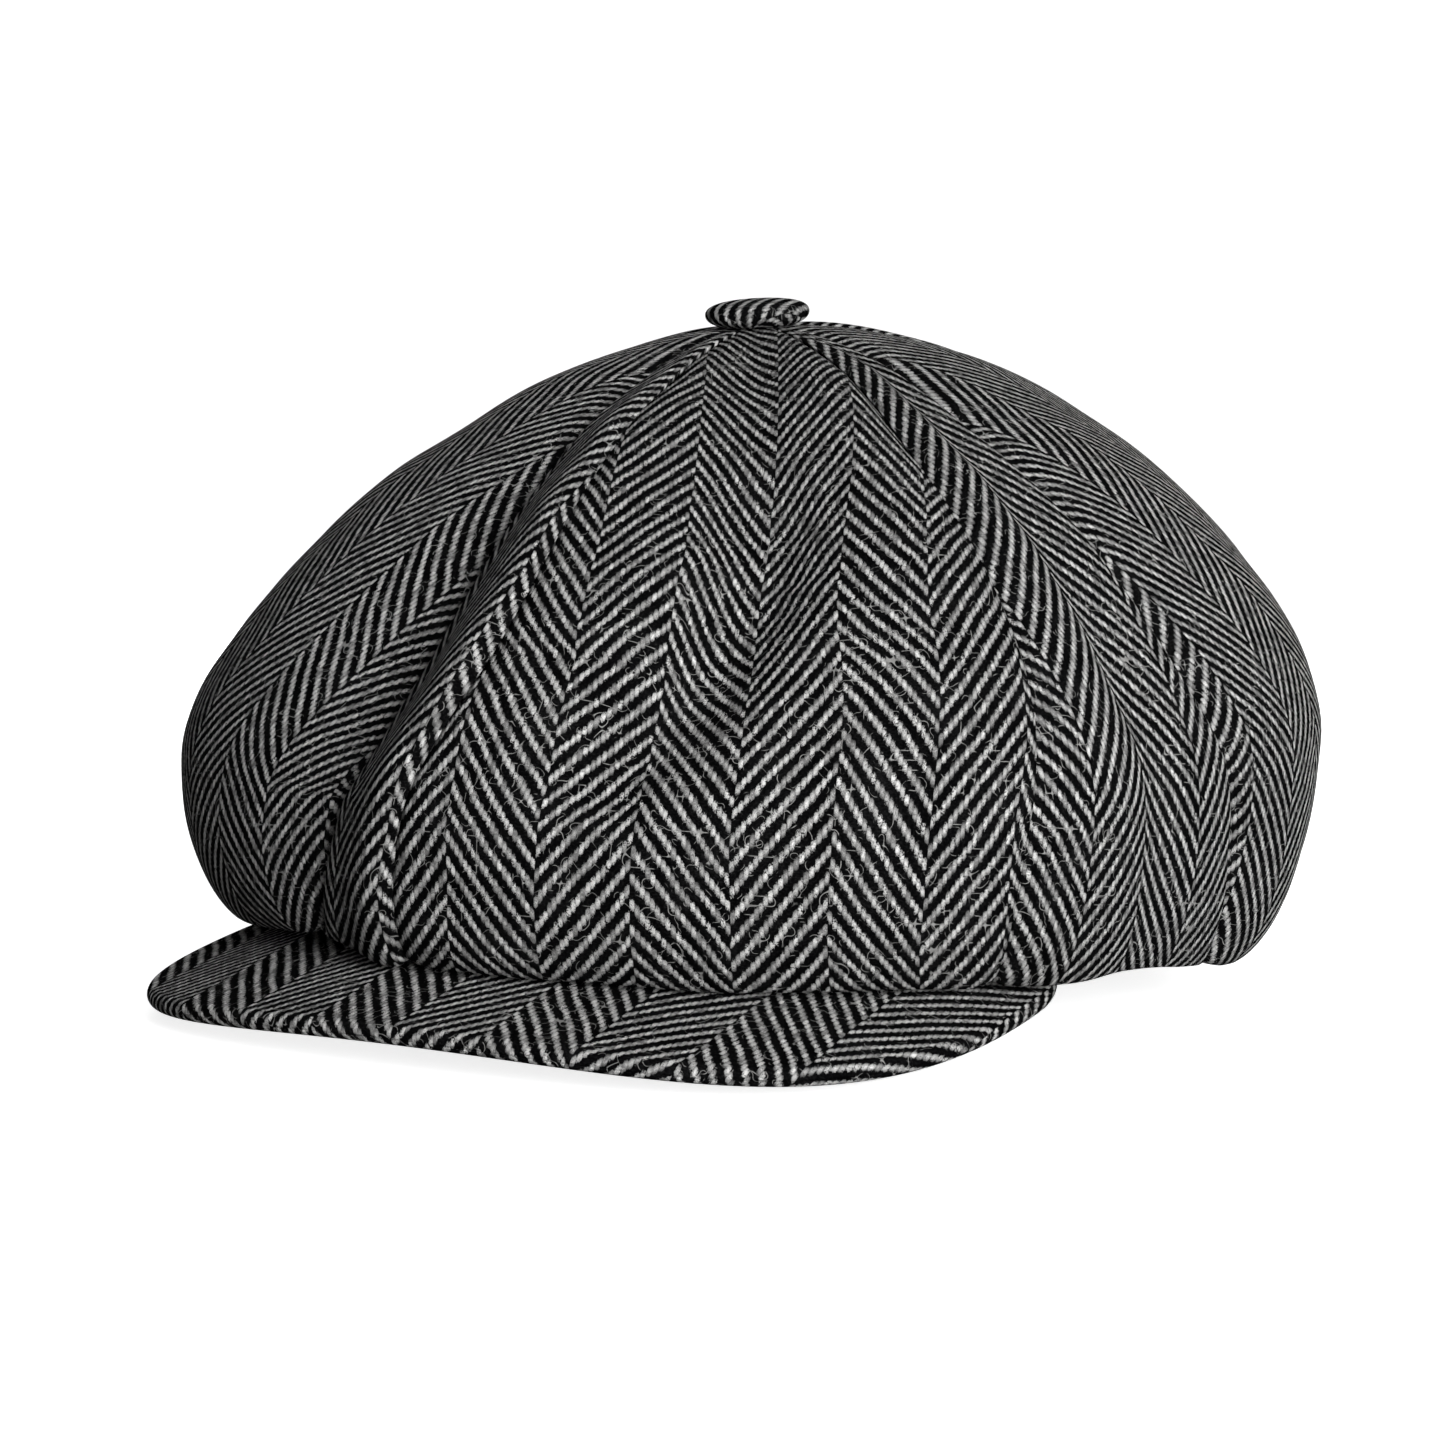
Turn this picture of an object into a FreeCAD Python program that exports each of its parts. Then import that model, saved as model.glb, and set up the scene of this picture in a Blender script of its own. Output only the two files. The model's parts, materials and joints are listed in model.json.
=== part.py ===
import FreeCAD, Part
import math
import os

from FreeCAD import Vector

# A newsboy cap: eight sewn crown panels over a lining, a headband that the full crown hangs
# over, a stiff peak at the front and a cloth-covered button at the apex.
# Millimetres and degrees. The origin is the centre of the head opening at the headband's
# lower edge. +Z is up, the peak points along -Y and the wearer's left is +X. Azimuths are
# counted from the front, -Y, towards +X.

# Headband, from the head outwards
HEAD_HALF_LENGTH = 98.0
HEAD_HALF_WIDTH = 82.0
SWEATBAND_THICKNESS = 1.2
STIFFENER_THICKNESS = 1.0
OUTER_BAND_THICKNESS = 1.8
BAND_HEIGHT = 30.0
SWEATBAND_RISE = 3.0
STIFFENER_INSET = 2.0
SEW_GAP = 0.2

# Crown. The cloth hangs unevenly, so the seams between the panels aren't equally spaced.
SEAM_AZIMUTHS = (-3.0, 54.0, 97.0, 138.0, 180.0, 221.0, 262.0, 314.0, 357.0)
PANEL_NAMES = (
    "front_left", "left_front", "left_rear", "rear_left",
    "rear_right", "right_rear", "right_front", "front_right",
)
CROWN_HALF_WIDTH = 128.0
CROWN_HALF_LENGTH = 136.0
CROWN_SHIFT_BACK = 2.5
CROWN_HEIGHT = 131.5
CROWN_TILT = 0.16
WIDEST_HEIGHT_FRONT = 30.5
WIDEST_HEIGHT_REAR = 44.5
RIM_HEIGHT_FRONT = -2.4
RIM_HEIGHT_REAR = -7.0
RIM_SIDE_DROP = 5.5
RIM_SIDE_POWER = 4
RIM_OVERHANG = 0.62
DOME_FLATNESS = 0.53
DOME_SHOULDER = 33.0
RIM_SHOULDER = 0.62
RIM_ROUNDING = 0.3
RETURN_ROUNDING = 0.55
CROWN_CLOTH = 2.4
SEAM_GAP = 0.4
APEX_HOLE_RADIUS = 3.2
SECTIONS_PER_PANEL = 5

# Lining
LINING_CLOTH = 0.8
LINING_CLEARANCE = 5.0
LINING_BAND_GAP = 0.4
LINING_OVERLAP = 6.0

# Peak
PEAK_HALF_WIDTH = 96.0
PEAK_WIDEST_FORWARD = 55.0
PEAK_TIP_FORWARD = 147.0
PEAK_END_FORWARD = 30.0
PEAK_END_TAPER = 0.8
PEAK_ROUNDING = 0.73
PEAK_SLOPE_FRONT = 12.6
PEAK_SLOPE_SIDE = 28.4
PEAK_TOP_HEIGHT = 0.8
PEAK_BAND_GAP = 0.5
PEAK_COVER_THICKNESS = 1.3
PEAK_BOARD_THICKNESS = 1.2
PEAK_BOARD_INSET = 3.0

# Button. Its parts are made upright at the apex, then leaned to stand square on the dome.
BUTTON_RADIUS = 12.0
BUTTON_HEIGHT = 5.4
BUTTON_EDGE = 0.35
BUTTON_SHOULDER = 0.85
BUTTON_FLATNESS = 0.6
BUTTON_CLOTH = 1.2
BUTTON_SHELL_THICKNESS = 0.6
BUTTON_LIFT = 0.8
BACK_PLATE_THICKNESS = 0.8
SHANK_RADIUS = 1.6
STAY_RADIUS = 16.0
STAY_THICKNESS = 0.8
STAY_GAP = 1.6
WASHER_RADIUS = 6.0
WASHER_THICKNESS = 0.8
RUNNING_GAP = 0.3

# Worked out from the above
BAND_THICKNESS = SWEATBAND_THICKNESS + STIFFENER_THICKNESS + OUTER_BAND_THICKNESS + 2 * SEW_GAP
PEAK_THICKNESS = PEAK_BOARD_THICKNESS + 2 * PEAK_COVER_THICKNESS + 2 * SEW_GAP
APEX_LEAN = math.degrees(math.atan(CROWN_TILT))


def save(shape, name):
    """Writes one piece, which has to be one valid closed solid."""
    solid, = shape.Solids
    solid.exportStep("parts/" + name + ".step")
    print(name, solid.isValid(), round(solid.Volume))


def ellipse_radius(half_width, half_length, azimuth):
    """Distance from the centre to an ellipse, at an azimuth."""
    angle = math.radians(azimuth)
    return 1 / math.hypot(math.sin(angle) / half_width, math.cos(angle) / half_length)


def band_radius(azimuth, out):
    """Distance to the headband, measured to a surface that lies out from the head."""
    return ellipse_radius(HEAD_HALF_WIDTH + out, HEAD_HALF_LENGTH + out, azimuth)


def crown_radius(azimuth):
    shift = CROWN_SHIFT_BACK * math.cos(math.radians(azimuth))
    return ellipse_radius(CROWN_HALF_WIDTH, CROWN_HALF_LENGTH, azimuth) - shift


def front_to_rear(front, rear, azimuth):
    share = (1 - math.cos(math.radians(azimuth))) / 2
    return front + (rear - front) * share


def rim_height(azimuth):
    """Height of the crown's lowest line, which hangs lower at the sides."""
    drop = RIM_SIDE_DROP * math.sin(math.radians(azimuth)) ** RIM_SIDE_POWER
    return front_to_rear(RIM_HEIGHT_FRONT, RIM_HEIGHT_REAR, azimuth) - drop


def dome_poles(azimuth, inset):
    """Poles (radius, height) of the dome, from the apex hole to the widest level."""
    wide = crown_radius(azimuth)
    widest = front_to_rear(WIDEST_HEIGHT_FRONT, WIDEST_HEIGHT_REAR, azimuth)
    top = CROWN_HEIGHT - inset
    return [
        (APEX_HOLE_RADIUS, top),
        (wide * DOME_FLATNESS, top),
        (wide - inset, widest + DOME_SHOULDER),
        (wide - inset, widest),
    ]


def overhang_poles(azimuth, inset):
    """Poles from the widest level down to the lowest line of the crown."""
    wide = crown_radius(azimuth)
    widest = front_to_rear(WIDEST_HEIGHT_FRONT, WIDEST_HEIGHT_REAR, azimuth)
    rim = rim_height(azimuth)
    band = band_radius(azimuth, BAND_THICKNESS)
    low = band + (wide - band) * RIM_OVERHANG
    return [
        (wide - inset, widest),
        (wide - inset, widest - (widest - rim) * RIM_SHOULDER),
        (low + (wide - low) * RIM_ROUNDING, rim + inset),
        (low, rim + inset),
    ]


def return_poles(azimuth, inset):
    """Poles from the lowest line up to the seam at the headband's upper edge."""
    wide = crown_radius(azimuth)
    rim = rim_height(azimuth)
    band = band_radius(azimuth, BAND_THICKNESS)
    low = band + (wide - band) * RIM_OVERHANG
    seam = band + SEW_GAP
    return [
        (low, rim + inset),
        (low - (low - seam) * RETURN_ROUNDING, rim + inset),
        (seam + inset, BAND_HEIGHT - (BAND_HEIGHT - rim) * RETURN_ROUNDING),
        (seam + inset, BAND_HEIGHT),
    ]


def place(pole, azimuth, sideways):
    """A (radius, height) pole in space. Above the headband the dome leans towards the peak."""
    radius, height = pole
    angle = math.radians(azimuth)
    forward = radius * math.cos(angle)
    rise = -CROWN_TILT * forward * max(height - BAND_HEIGHT, 0) / (CROWN_HEIGHT - BAND_HEIGHT)
    return Vector(
        radius * math.sin(angle) + sideways * math.cos(angle),
        -forward + sideways * math.sin(angle),
        height + rise,
    )


def curve(poles, azimuth, sideways):
    bezier = Part.BezierCurve()
    bezier.setPoles([place(pole, azimuth, sideways) for pole in poles])
    return bezier.toShape()


def strip_section(outer, inner, azimuth, sideways):
    """Closed wire in a vertical plane through the axis, round a strip of cloth."""
    down = [curve(poles, azimuth, sideways) for poles in outer]
    up = [curve(poles[::-1], azimuth, sideways) for poles in inner[::-1]]
    foot = Part.LineSegment(down[-1].Vertexes[-1].Point, up[0].Vertexes[0].Point).toShape()
    head = Part.LineSegment(up[-1].Vertexes[-1].Point, down[0].Vertexes[0].Point).toShape()
    return Part.Wire(down + [foot] + up + [head])


def panel(first, last, profile):
    """A gore of cloth between two seams, a little clear of its neighbours."""
    sections = []
    for step in range(SECTIONS_PER_PANEL):
        share = step / (SECTIONS_PER_PANEL - 1)
        azimuth = first + (last - first) * share
        sideways = SEAM_GAP * (0.5 - share)
        outer, inner = profile(azimuth)
        sections.append(strip_section(outer, inner, azimuth, sideways))
    return Part.makeLoft(sections, True, False)


def crown_profile(azimuth):
    outer = [part(azimuth, 0) for part in (dome_poles, overhang_poles, return_poles)]
    inner = [part(azimuth, CROWN_CLOTH) for part in (dome_poles, overhang_poles, return_poles)]
    return outer, inner


def lining_side(azimuth, inset):
    """The lining's lower part, which tucks in behind the sweatband's upper edge."""
    dome = dome_poles(azimuth, LINING_CLEARANCE + inset)
    band = band_radius(azimuth, BAND_THICKNESS) - inset
    seam = band_radius(azimuth, SWEATBAND_THICKNESS + LINING_CLOTH + LINING_BAND_GAP) - inset
    foot = BAND_HEIGHT + LINING_BAND_GAP
    knee = foot + (dome[2][1] - foot) * RETURN_ROUNDING
    return [dome[0], dome[1], (band + LINING_OVERLAP, knee), (seam, foot)]


def lining_profile(azimuth):
    return [lining_side(azimuth, 0)], [lining_side(azimuth, LINING_CLOTH)]


def head_ellipse(out, height, front_rise=0):
    """Ellipse round the head opening, at a distance out from it, raised at its front."""
    front = Vector(0, -HEAD_HALF_LENGTH - out, height + front_rise)
    side = Vector(HEAD_HALF_WIDTH + out, 0, height)
    return Part.Wire(Part.Ellipse(front, side, Vector(0, 0, height)).toShape())


def head_column(out, bottom, top):
    """Upright elliptical column with the head opening's outline."""
    return Part.Face(head_ellipse(out, bottom)).extrude(Vector(0, 0, top - bottom))


def band_ring(inner_out, thickness, bottom, top):
    """Upright elliptical ring round the head."""
    outside = head_column(inner_out + thickness, bottom, top)
    return outside.cut(head_column(inner_out, bottom, top))


def bezier_edge(points):
    bezier = Part.BezierCurve()
    bezier.setPoles([Vector(x, y, z) for x, y, z in points])
    return bezier.toShape()


def peak_side(side, inset):
    """One half of the peak's plan outline, from its tip round to its end at the headband."""
    tip = -PEAK_TIP_FORWARD + inset
    wide = side * (PEAK_HALF_WIDTH - inset)
    widest = -PEAK_WIDEST_FORWARD
    end = -PEAK_END_FORWARD
    foot = side * HEAD_HALF_WIDTH
    front = [
        (0, tip, 0),
        (wide * PEAK_ROUNDING, tip, 0),
        (wide, widest + (tip - widest) * PEAK_ROUNDING, 0),
        (wide, widest, 0),
    ]
    back = [
        (wide, widest, 0),
        (wide, widest + (end - widest) * PEAK_END_TAPER, 0),
        (foot, end, 0),
    ]
    return [bezier_edge(front), bezier_edge(back)]


def peak_outline(inset):
    """Plan view of the peak, closed by a straight line behind the headband."""
    left = peak_side(1, inset)
    right = peak_side(-1, inset)
    ends = [left[-1].Vertexes[-1].Point, right[-1].Vertexes[-1].Point]
    chord = Part.LineSegment(*ends).toShape()
    return Part.Face(Part.Wire(Part.sortEdges(left + right + [chord])[0]))


def peak_cone(drop):
    """Everything between the peak's sloping surface, lowered by a drop, and its wide mouth.

    The surface falls away from the headband, more steeply at the sides than at the front, as
    a flat board does when its curved edge is sewn round the head.
    """
    side_fall = PEAK_TIP_FORWARD * math.tan(math.radians(PEAK_SLOPE_SIDE))
    front_fall = PEAK_TIP_FORWARD * math.tan(math.radians(PEAK_SLOPE_FRONT))
    start = BAND_THICKNESS + PEAK_BAND_GAP
    height = PEAK_TOP_HEIGHT - drop
    top = head_ellipse(start, height)
    mouth = head_ellipse(start + PEAK_TIP_FORWARD, height - side_fall, side_fall - front_fall)
    return Part.makeLoft([top, mouth], True, True)


def peak_layer(top_drop, thickness, inset):
    """The part of the peak between two sloping surfaces, inside an inset outline."""
    column = peak_outline(inset).extrude(Vector(0, 0, 2 * PEAK_TIP_FORWARD))
    column.translate(Vector(0, 0, -PEAK_TIP_FORWARD))
    start = BAND_THICKNESS + PEAK_BAND_GAP + inset
    head = head_column(start, -PEAK_TIP_FORWARD, PEAK_TIP_FORWARD)
    layer = peak_cone(top_drop).cut(peak_cone(top_drop + thickness))
    return layer.common(column).cut(head)


def disc(radius, bottom, thickness):
    return Part.makeCylinder(radius, thickness, Vector(0, 0, bottom))


def dome(radius, bottom, height):
    """A flat-bottomed button form: a short upright edge under a rounded top."""
    edge = bottom + height * BUTTON_EDGE
    top = bottom + height
    centre = Vector(0, 0, bottom)
    rim = Vector(radius, 0, bottom)
    crown = bezier_edge([
        (radius, 0, edge),
        (radius, 0, bottom + height * BUTTON_SHOULDER),
        (radius * BUTTON_FLATNESS, 0, top),
        (0, 0, top),
    ])
    edges = [
        Part.LineSegment(centre, rim).toShape(),
        Part.LineSegment(rim, Vector(radius, 0, edge)).toShape(),
        crown,
        Part.LineSegment(Vector(0, 0, top), centre).toShape(),
    ]
    return Part.Face(Part.Wire(edges)).revolve(Vector(), Vector(0, 0, 1), 360)


def leaned(shape):
    """Leans a part made upright about the crown's apex, forwards with the dome."""
    return shape.rotated(Vector(0, 0, CROWN_HEIGHT), Vector(1, 0, 0), APEX_LEAN)


def make_crown_and_lining():
    for name, first, last in zip(PANEL_NAMES, SEAM_AZIMUTHS, SEAM_AZIMUTHS[1:]):
        save(panel(first, last, crown_profile), "crown_panel_" + name)
        save(panel(first, last, lining_profile), "lining_panel_" + name)


def make_headband():
    out = 0
    save(band_ring(out, SWEATBAND_THICKNESS, 0, BAND_HEIGHT + SWEATBAND_RISE), "sweatband")
    out += SWEATBAND_THICKNESS + SEW_GAP
    stiffener = band_ring(out, STIFFENER_THICKNESS, STIFFENER_INSET, BAND_HEIGHT - STIFFENER_INSET)
    save(stiffener, "headband_stiffener")
    out += STIFFENER_THICKNESS + SEW_GAP
    save(band_ring(out, OUTER_BAND_THICKNESS, 0, BAND_HEIGHT), "outer_headband")


def make_peak():
    cover = PEAK_COVER_THICKNESS
    board = peak_layer(cover + SEW_GAP, PEAK_BOARD_THICKNESS, PEAK_BOARD_INSET)
    save(board, "peak_board")
    save(peak_layer(0, cover, 0), "peak_upper_cover")
    save(peak_layer(PEAK_THICKNESS - cover, cover, 0), "peak_lower_cover")


def make_button():
    seat = CROWN_HEIGHT + BUTTON_LIFT
    form = seat + BACK_PLATE_THICKNESS
    core_radius = BUTTON_RADIUS - BUTTON_CLOTH
    core_height = BUTTON_HEIGHT - BUTTON_CLOTH
    hollow_radius = core_radius - BUTTON_SHELL_THICKNESS
    core = dome(core_radius, form, core_height)
    hollow = dome(hollow_radius, form, core_height - BUTTON_SHELL_THICKNESS)
    plate = disc(hollow_radius - SEW_GAP, seat, BACK_PLATE_THICKNESS)
    cloth = dome(BUTTON_RADIUS, seat, BUTTON_HEIGHT + BACK_PLATE_THICKNESS)
    socket = disc(core_radius, seat, BACK_PLATE_THICKNESS)
    save(leaned(cloth.cut(core).cut(socket)), "button_cover")
    save(leaned(core.cut(hollow)), "button_shell")
    save(leaned(plate), "button_back_plate")

    washer_top = CROWN_HEIGHT - LINING_CLEARANCE - LINING_CLOTH - RUNNING_GAP
    washer_foot = washer_top - WASHER_THICKNESS
    washer = disc(WASHER_RADIUS, washer_foot, WASHER_THICKNESS)
    bore = disc(SHANK_RADIUS, washer_foot, WASHER_THICKNESS)
    save(leaned(washer.cut(bore)), "button_washer")
    shank_foot = washer_foot - WASHER_THICKNESS
    save(leaned(disc(SHANK_RADIUS, shank_foot, seat - shank_foot)), "button_shank")


def make_apex_stay():
    """The round patch under the points of the panels, with a hole for the button's shank."""
    foot = CROWN_HEIGHT - CROWN_CLOTH - STAY_GAP - STAY_THICKNESS
    patch = disc(STAY_RADIUS, foot, STAY_THICKNESS)
    save(leaned(patch.cut(disc(APEX_HOLE_RADIUS, foot, STAY_THICKNESS))), "crown_apex_stay")


os.makedirs("parts", exist_ok=True)
make_crown_and_lining()
make_headband()
make_peak()
make_apex_stay()
make_button()
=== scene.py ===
import json
import math

import bpy
import numpy as np
from mathutils import Matrix, Vector, noise


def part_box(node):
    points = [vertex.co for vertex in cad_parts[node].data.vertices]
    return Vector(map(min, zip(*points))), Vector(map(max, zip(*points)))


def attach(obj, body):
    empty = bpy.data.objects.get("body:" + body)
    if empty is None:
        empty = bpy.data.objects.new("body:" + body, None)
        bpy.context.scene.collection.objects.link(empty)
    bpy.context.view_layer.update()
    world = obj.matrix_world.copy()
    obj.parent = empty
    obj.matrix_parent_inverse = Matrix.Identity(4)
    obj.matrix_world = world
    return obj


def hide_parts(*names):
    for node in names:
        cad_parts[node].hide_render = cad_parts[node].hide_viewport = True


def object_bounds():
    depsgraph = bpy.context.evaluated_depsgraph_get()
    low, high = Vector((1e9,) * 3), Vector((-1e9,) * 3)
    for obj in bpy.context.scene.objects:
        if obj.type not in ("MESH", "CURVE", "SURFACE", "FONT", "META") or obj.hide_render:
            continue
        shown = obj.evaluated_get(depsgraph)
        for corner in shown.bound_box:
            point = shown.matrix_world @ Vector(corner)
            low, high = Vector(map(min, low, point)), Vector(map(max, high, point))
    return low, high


# A newsboy cap in herringbone tweed. Metres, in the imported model's frame: the origin is the
# centre of the head opening, +Z is up and the peak points along -Y. Azimuths are counted
# from the front, -Y, towards the wearer's left, +X.

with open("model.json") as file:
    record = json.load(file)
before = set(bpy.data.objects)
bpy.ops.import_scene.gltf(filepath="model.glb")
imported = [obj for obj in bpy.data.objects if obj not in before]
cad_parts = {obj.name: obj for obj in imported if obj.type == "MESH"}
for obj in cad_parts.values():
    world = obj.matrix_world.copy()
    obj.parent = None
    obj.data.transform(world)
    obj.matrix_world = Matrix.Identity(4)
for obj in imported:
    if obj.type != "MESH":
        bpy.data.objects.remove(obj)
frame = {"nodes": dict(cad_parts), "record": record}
CAD_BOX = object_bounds()

MM = 0.001
PANEL_NAMES = (
    "front_left", "left_front", "left_rear", "rear_left",
    "rear_right", "right_rear", "right_front", "front_right",
)
JOINTS = {joint["name"]: joint for joint in frame["record"]["behaviour"]["joints"]}

# Driving dimensions, from the frame
CROWN_BOXES = [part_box("crown_panel_" + name) for name in PANEL_NAMES]
CROWN_HALF_WIDTH = max(high.x for low, high in CROWN_BOXES)
CROWN_FRONT = -min(low.y for low, high in CROWN_BOXES)
CROWN_REAR = max(high.y for low, high in CROWN_BOXES)
CROWN_HALF_LENGTH = (CROWN_FRONT + CROWN_REAR) / 2
CROWN_SHIFT_BACK = (CROWN_REAR - CROWN_FRONT) / 2
APEX = Vector(JOINTS["button_spin"]["pos_m"])
BUTTON_AXIS = Vector(JOINTS["button_spin"]["axis"])
CROWN_HEIGHT = APEX.z
CROWN_TILT = -BUTTON_AXIS.y / BUTTON_AXIS.z
BAND_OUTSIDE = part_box("outer_headband")[1]
BAND_HEIGHT = BAND_OUTSIDE.z
SWEATBAND_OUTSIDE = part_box("sweatband")[1]
PEAK_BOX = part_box("peak_upper_cover")
PEAK_HALF_WIDTH = PEAK_BOX[1].x
PEAK_TIP_FORWARD = -PEAK_BOX[0].y
PEAK_TOP_HEIGHT = PEAK_BOX[1].z

# Shape of the crown. The profiles are worked out at azimuths one degree apart.
TABLE_START = -60
TABLE_END = 420
APEX_HOLE = 3.2 * MM
DOME_FLATNESS = 0.53
DOME_SHOULDER = 33 * MM
WIDEST_FRONT = 30.5 * MM
WIDEST_REAR = 44.5 * MM
RIM_FRONT = -2.4 * MM
RIM_REAR = -7 * MM
# How far the rim hangs lower than that, in millimetres, every thirty degrees round the cap
RIM_HANG = (0, 0, 1, 4, 1, 0, 0, 0, 2, 6, 2, 0.2, 0)
RIM_OVERHANG = 0.62
RIM_SHOULDER = 0.62
RIM_ROUNDING = 0.3
RETURN_ROUNDING = 0.55
SEW_GAP = 0.2 * MM
CLOTH = 1.8 * MM
PROFILE_STEPS = 60
ROWS = 170
COLUMNS = 72
COLUMN_CROWDING = 0.4

# Each seam: its azimuths in degrees and the depths of its valley in millimetres, at even
# steps from the button down to the headband, and how far its sewn edges turn in.
SEAMS = (
    ((-3, 0, 1, -5, -8), (0, 1, 1, 1, 1), 0.9),
    ((60, 56, 55, 52, 54), (0, 3, 1, 1, 1), 0.9),
    ((82, 76, 79, 88, 96), (0, 3, 4.5, 6, 6, 2.6, 0.5), 1.6),
    ((140, 140, 141, 142, 143), (0, 3, 5, 5, 1), 2.2),
    ((180, 181, 180, 179, 180), (0, 3, 5, 5, 1), 2.2),
    ((225, 226, 225, 224, 225), (0, 3, 5, 5, 1), 2.2),
    ((270, 272, 273, 271, 270), (0, 3, 5, 5, 1), 2.2),
    ((342, 342, 344, 346, 345, 340, 333), (0, 3, 10, 15, 13, 4, 0), 1.2),
)
SEAM_LIP_WIDTH = 2.0 * MM
FULL_LIP_PANEL_WIDTH = 25 * MM

# Each panel between two seams: how sharply the cloth turns into its first and its last
# seam, how many millimetres it sinks at even steps across, how much of that shows at even
# steps down, and how many millimetres off its middle a herringbone V runs, at even steps down.
LEVELS = (0, 0.4, 0.9, 1, 0.3)
HIGH_TO_LOW = (0, 0.7, 0.1, -0.3, 1.5)
LOW_ONLY = (0, 0, -0.2, 0.7, 0)
PUFFED = (0, -0.8, -1.3, -1.5, -1.3, -0.8, 0)
PANELS = (
    (6, 6, (0, 2, 4, 5, 2, -1, 0), (0, 1, 0.7, 0, 0), (5, 4.5, -1, 6, 11)),
    (6, 6, (0, 0, 2, 6, 5, 3, 0), (0, 0.3, 0.6, 0.9, 1, 0.45, 0), (-22, -22)),
    (7, 6, (0, 1, 1.5, 1.5, 1.5, 1, 0), HIGH_TO_LOW, (0, 0)),
    (6, 6, PUFFED, LEVELS, (7, 7)),
    (6, 6, PUFFED, LEVELS, (-12, -12)),
    (6, 6, PUFFED, LEVELS, (15, 15)),
    (6, 4.5, (0, -1, -2.2, -2.2, -1, 0, 0), LOW_ONLY, (24, 24)),
    (2.1, 6, (0, 1, 2, 1.5, 0, -1, 0), (0, 0.5, 1, 0.7, 0), (-6, -6)),
)

# A soft fold across the front panel: places across and down it, from its top to its foot
FRONT_FOLD = ((0.50, 0.32), (0.47, 0.42), (0.39, 0.52), (0.32, 0.62), (0.27, 0.71))
FOLD_DEPTH = 9 * MM
FOLD_WIDTH = 10 * MM
FOLD_STEPS = 60
FOLD_END = 0.1

# Herringbone cloth
YARN = 0.95 * MM
YARNS_PER_COLUMN = 20
PITCH = 5.1 * MM


def smoothstep(low, high, value):
    share = np.clip((value - low) / (high - low), 0, 1)
    return share * share * (3 - 2 * share)


def through(values, share):
    """A smooth curve through evenly spaced values, at shares from 0 to 1."""
    values = np.asarray(values, float)
    padded = np.concatenate([[2 * values[0] - values[1]], values, [2 * values[-1] - values[-2]]])
    place = np.clip(share, 0, 1) * (len(values) - 1)
    step = np.minimum(place.astype(int), len(values) - 2)
    t = place - step
    a, b, c, d = (padded[step + k] for k in range(4))
    return b + t / 2 * (c - a + t * (2 * a - 5 * b + 4 * c - d + t * (3 * (b - c) + d - a)))


def bezier(poles, t):
    """Points on a cubic curve. Poles and t may be arrays of one shape."""
    a, b, c, d = poles
    return (1 - t) ** 3 * a + 3 * (1 - t) ** 2 * t * b + 3 * (1 - t) * t * t * c + t ** 3 * d


def ellipse_radius(half_width, half_length, azimuth):
    return 1 / np.hypot(np.sin(azimuth) / half_width, np.cos(azimuth) / half_length)


def band_radius(azimuth, out=0.0):
    return ellipse_radius(BAND_OUTSIDE.x + out, BAND_OUTSIDE.y + out, azimuth)


def crown_radius(azimuth):
    oval = ellipse_radius(CROWN_HALF_WIDTH, CROWN_HALF_LENGTH, azimuth)
    return oval - CROWN_SHIFT_BACK * np.cos(azimuth)


def front_to_rear(front, rear, azimuth):
    return front + (rear - front) * (1 - np.cos(azimuth)) / 2


def crown_profile(azimuth):
    """Radii and heights down the crown at some azimuths, evenly spaced along the cloth."""
    wide = crown_radius(azimuth)
    widest = front_to_rear(WIDEST_FRONT, WIDEST_REAR, azimuth)
    around = np.mod(azimuth, 2 * math.pi) / (2 * math.pi)
    rim = front_to_rear(RIM_FRONT, RIM_REAR, azimuth) - through(RIM_HANG, around) * MM
    band = band_radius(azimuth)
    low = band + (wide - band) * RIM_OVERHANG
    seam = band + SEW_GAP
    top = np.full_like(wide, CROWN_HEIGHT)
    hole = np.full_like(wide, APEX_HOLE)
    foot = np.full_like(wide, BAND_HEIGHT)
    parts = (
        ((hole, wide * DOME_FLATNESS, wide, wide), (top, top, widest + DOME_SHOULDER, widest)),
        ((wide, wide, low + (wide - low) * RIM_ROUNDING, low),
         (widest, widest - (widest - rim) * RIM_SHOULDER, rim, rim)),
        ((low, low - (low - seam) * RETURN_ROUNDING, seam, seam),
         (rim, rim, foot - (foot - rim) * RETURN_ROUNDING, foot)),
    )
    return even_profile(parts)


def lining_profile(azimuth):
    """The same for the lining, from under the button to behind the sweatband."""
    wide = crown_radius(azimuth)
    widest = front_to_rear(WIDEST_FRONT, WIDEST_REAR, azimuth)
    band = band_radius(azimuth)
    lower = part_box("lining_panel_front_left")[0].z
    top = np.full_like(wide, CROWN_HEIGHT - LINING_CLEARANCE)
    hole = np.full_like(wide, APEX_HOLE)
    seam = ellipse_radius(SWEATBAND_OUTSIDE.x + LINING_TUCK, SWEATBAND_OUTSIDE.y + LINING_TUCK, azimuth)
    foot = np.full_like(wide, lower)
    knee = foot + (widest + DOME_SHOULDER - foot) * RETURN_ROUNDING
    poles = ((hole, wide * DOME_FLATNESS, band + LINING_OVERLAP, seam), (top, top, knee, foot))
    return even_profile((poles,))


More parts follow.
